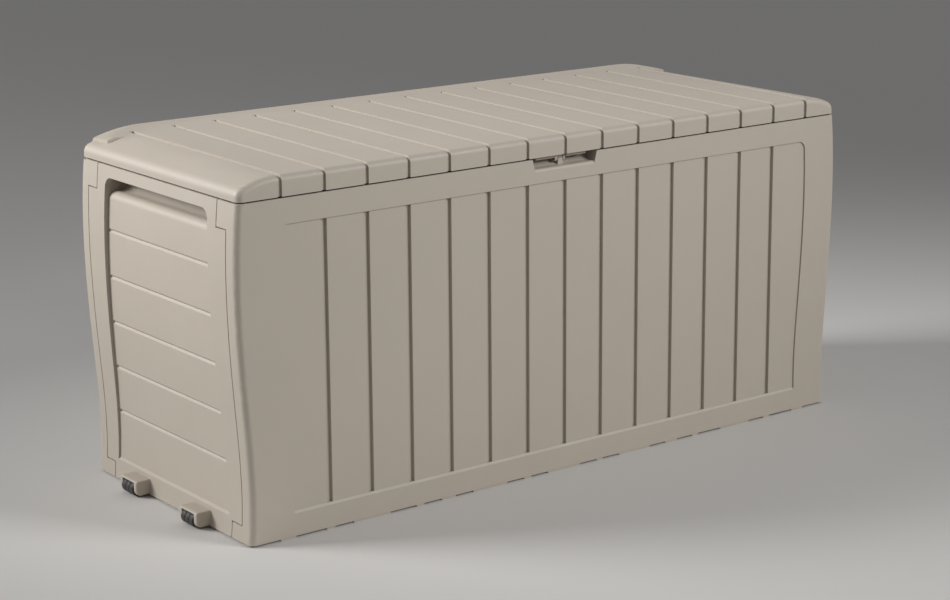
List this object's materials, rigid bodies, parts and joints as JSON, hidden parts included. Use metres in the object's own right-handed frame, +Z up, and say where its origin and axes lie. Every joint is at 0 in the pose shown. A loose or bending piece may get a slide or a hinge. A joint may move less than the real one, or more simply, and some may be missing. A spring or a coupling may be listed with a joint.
{
  "type": "deck storage box",
  "caption": "Outdoor storage box of moulded resin panels with a hinged overhanging lid, recessed end handles and small ground wheels at one end.",
  "frame": {"origin": "centre of the box's rest plane, midway between the end panels and between front and back, on the ground", "axes": "+X to the plain end, away from the wheels; +Y from front to back; +Z up"},
  "size_m": [1.1983, 0.457, 0.5479],
  "materials": {
    "resin": "moulded, smooth, warm taupe",
    "resin_lid": "moulded, smooth, warm taupe",
    "stay_plastic": "moulded, satin, dark grey",
    "wheel_plastic": "moulded, satin, dark grey",
    "steel": "plain zinc plated"
  },
  "bodies": {
    "base": {"floor_panel": "resin", "front_panel": "resin", "back_panel": "resin", "left_end_panel": "resin", "right_end_panel": "resin", "hinge_pins": "steel", "stay_pivots": "steel", "wheel_axles": "steel"},
    "lid": {"lid": "resin_lid", "stay_track_left": "stay_plastic", "stay_track_right": "stay_plastic", "track_screws": "steel"},
    "stay_left": {"stay_arm_left": "stay_plastic"},
    "stay_right": {"stay_arm_right": "stay_plastic"},
    "wheel_front": {"wheel_front": "wheel_plastic"},
    "wheel_rear": {"wheel_rear": "wheel_plastic"}
  },
  "joints": [
    {"name": "lid_hinge", "type": "hinge", "parent": "base", "child": "lid", "pos_m": [0, 0.2215, 0.498], "axis": [-1, 0, 0], "range_deg": [0, 100]},
    {"name": "stay_left_swing", "type": "hinge", "parent": "base", "child": "stay_left", "pos_m": [-0.5385, 0.17554, 0.45943], "axis": [-1, 0, 0], "range_deg": [0, 100]},
    {"name": "stay_right_swing", "type": "hinge", "parent": "base", "child": "stay_right", "pos_m": [0.5385, 0.17554, 0.45943], "axis": [-1, 0, 0], "range_deg": [0, 100]},
    {"name": "wheel_front_spin", "type": "hinge", "parent": "base", "child": "wheel_front", "pos_m": [-0.5945, -0.09, 0.0126], "axis": [0, 1, 0], "continuous": true},
    {"name": "wheel_rear_spin", "type": "hinge", "parent": "base", "child": "wheel_rear", "pos_m": [-0.5945, 0.09, 0.0126], "axis": [0, 1, 0], "continuous": true}
  ],
  "couplings": [
    {"joint": "stay_left_swing", "follows": "lid_hinge", "ratio": 1},
    {"joint": "stay_right_swing", "follows": "lid_hinge", "ratio": 1}
  ]
}
